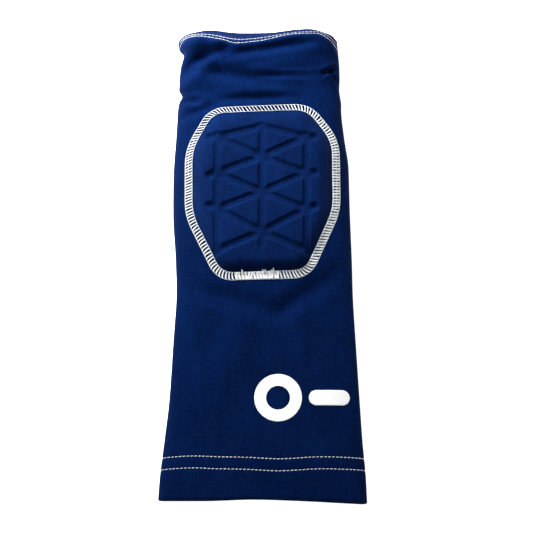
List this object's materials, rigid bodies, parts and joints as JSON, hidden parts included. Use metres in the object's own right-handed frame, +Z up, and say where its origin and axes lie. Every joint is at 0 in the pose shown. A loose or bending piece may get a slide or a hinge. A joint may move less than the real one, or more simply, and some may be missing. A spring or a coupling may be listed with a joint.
{
  "type": "padded elbow sleeve",
  "caption": "Stretch-knit elbow sleeve lying flat: a tapering tube open at both ends, with a moulded, grooved elbow pad framed by a flat stitched seam.",
  "frame": {"origin": "on the surface the sleeve lies on, under the middle of its outline", "axes": "+Y along the sleeve towards the narrow forearm hem, +Z up out of the pad side, +X to the right when seen from above with the forearm hem away from the viewer"},
  "size_m": [0.122, 0.2881, 0.0259],
  "materials": {
    "navy_knit": "fine matt jersey knit with a faint sheen",
    "pad_knit": "fine matt jersey knit over moulded foam",
    "white_thread": "textured polyester thread",
    "white_print": "thin heat-pressed film"
  },
  "bodies": {
    "root": {"sleeve": "navy_knit", "elbow_pad": "pad_knit", "pad_seam": "white_thread", "print_ring": "white_print", "print_bar": "white_print"}
  },
  "joints": []
}
